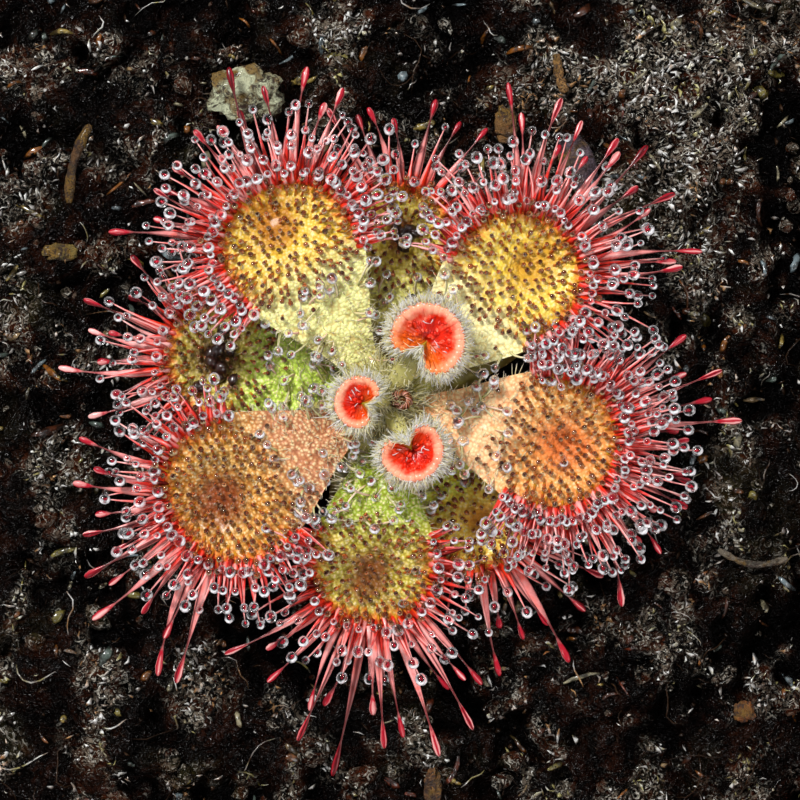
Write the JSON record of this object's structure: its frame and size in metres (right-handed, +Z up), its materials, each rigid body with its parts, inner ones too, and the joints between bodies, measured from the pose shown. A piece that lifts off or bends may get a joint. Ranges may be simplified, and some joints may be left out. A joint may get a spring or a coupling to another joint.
{
  "type": "potted sundew",
  "caption": "Rosette of sticky, tentacled leaves rooted in wet peat, in a plain round nursery pot with drain holes.",
  "frame": {"origin": "middle of the pot's foot, on the surface the pot stands on", "axes": "+Z up along the pot's axis, +Y towards the leaf named north, +X towards the leaf named east"},
  "size_m": [0.08, 0.08, 0.068],
  "materials": {
    "pot_plastic": "satin",
    "wet_peat": "satin",
    "stem_skin": "satin",
    "root_skin": "matte",
    "leaf_blade": "satin",
    "young_leaf": "satin",
    "tentacle_red": "gloss",
    "mucilage": "gloss",
    "bark": "matte",
    "dead_leaf": "matte",
    "straw": "matte"
  },
  "bodies": {
    "root": {"pot": "pot_plastic", "peat": "wet_peat", "stem": "stem_skin", "root_1": "root_skin", "root_2": "root_skin", "root_3": "root_skin", "leaf_north": "leaf_blade", "leaf_north_west": "leaf_blade", "leaf_west": "leaf_blade", "leaf_south_west": "leaf_blade", "leaf_south": "leaf_blade", "leaf_south_east": "leaf_blade", "leaf_east": "leaf_blade", "leaf_north_east": "leaf_blade", "young_leaf_large": "young_leaf", "young_leaf_middling": "young_leaf", "young_leaf_small": "young_leaf", "leaf_bud": "young_leaf", "bark_chunk": "bark", "bark_flake_olive": "bark", "bark_flake_amber": "bark", "bark_flake_brown": "bark", "bark_flake_tan": "bark", "dead_leaf": "dead_leaf", "twig_brown": "straw", "straw_piece": "straw", "root_fibre": "straw"}
  },
  "joints": []
}
